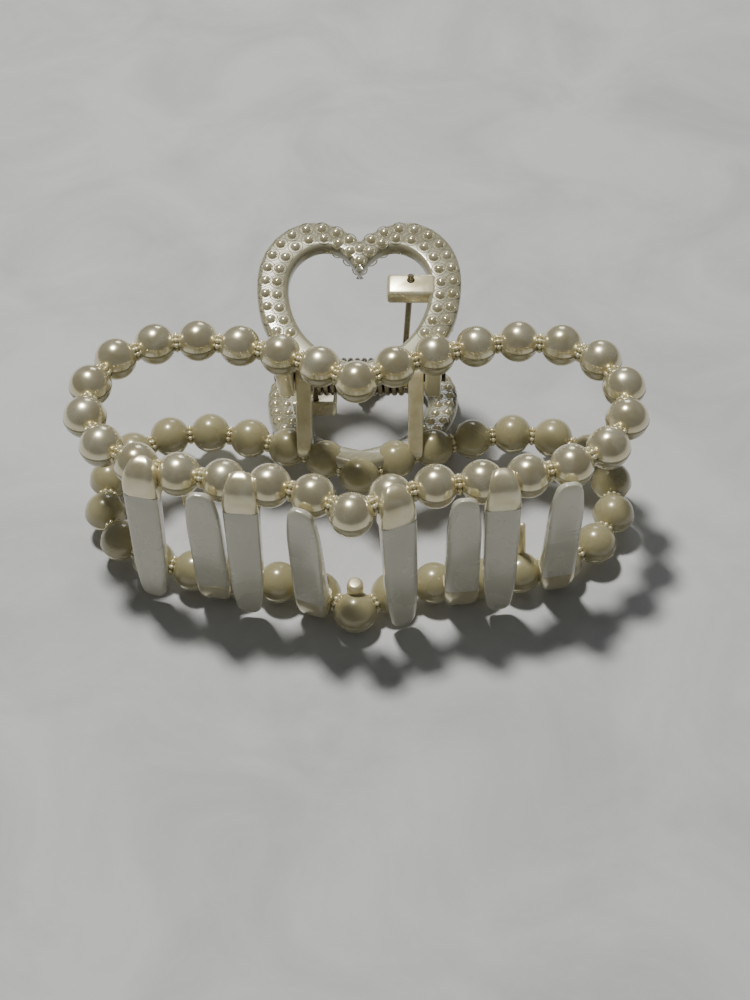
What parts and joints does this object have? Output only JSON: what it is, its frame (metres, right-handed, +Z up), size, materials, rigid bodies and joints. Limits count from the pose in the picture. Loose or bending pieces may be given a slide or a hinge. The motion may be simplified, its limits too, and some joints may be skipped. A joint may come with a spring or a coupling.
{
  "type": "claw clip",
  "caption": "Large claw hair clip: sprung rings of moulded pearls with interlocking flat teeth and open heart-shaped finger handles on a hinge pin.",
  "frame": {"origin": "on the surface the clip lies on, under the middle of its outer box; the clip lies on its lower half", "axes": "+X along the hinge pin, +Y from the teeth back to the heart handles, +Z up"},
  "size_m": [0.1108, 0.0778, 0.0436],
  "materials": {
    "pearl_lacquer": "cream pearl lacquer over moulded plastic, glossy",
    "satin_pearl_plastic": "translucent off-white plastic with a satin pearl sheen",
    "spring_steel": "drawn spring wire with a warm tint",
    "pin_steel": "dark plated pin"
  },
  "bodies": {
    "lower_half": {"lower_bead_loop": "pearl_lacquer", "lower_centre_nub": "pearl_lacquer", "lower_grip_spike_1": "pearl_lacquer", "lower_grip_spike_2": "pearl_lacquer", "lower_heart_handle": "pearl_lacquer", "lower_hinge_ear_left": "pearl_lacquer", "lower_hinge_ear_right": "pearl_lacquer", "lower_spring_block": "pearl_lacquer", "lower_tooth_1": "satin_pearl_plastic", "lower_tooth_2": "satin_pearl_plastic", "lower_tooth_3": "satin_pearl_plastic", "lower_tooth_4": "satin_pearl_plastic", "hinge_pin": "pin_steel", "torsion_spring": "spring_steel"},
    "upper_half": {"upper_bead_loop": "pearl_lacquer", "upper_centre_nub": "pearl_lacquer", "upper_grip_spike_1": "pearl_lacquer", "upper_grip_spike_2": "pearl_lacquer", "upper_heart_handle": "pearl_lacquer", "upper_hinge_ear_left": "pearl_lacquer", "upper_hinge_ear_right": "pearl_lacquer", "upper_spring_block": "pearl_lacquer", "upper_tooth_1": "satin_pearl_plastic", "upper_tooth_2": "satin_pearl_plastic", "upper_tooth_3": "satin_pearl_plastic", "upper_tooth_4": "satin_pearl_plastic"}
  },
  "joints": [
    {"name": "jaw_hinge", "type": "hinge", "parent": "lower_half", "child": "upper_half", "pos_m": [0, 0.01436, 0.02087], "axis": [-1, 0, 0], "range_deg": [0, 60], "stiffness_Nm_per_rad": 0.2, "springref_deg": -22.92, "deforming": ["torsion_spring"]}
  ]
}
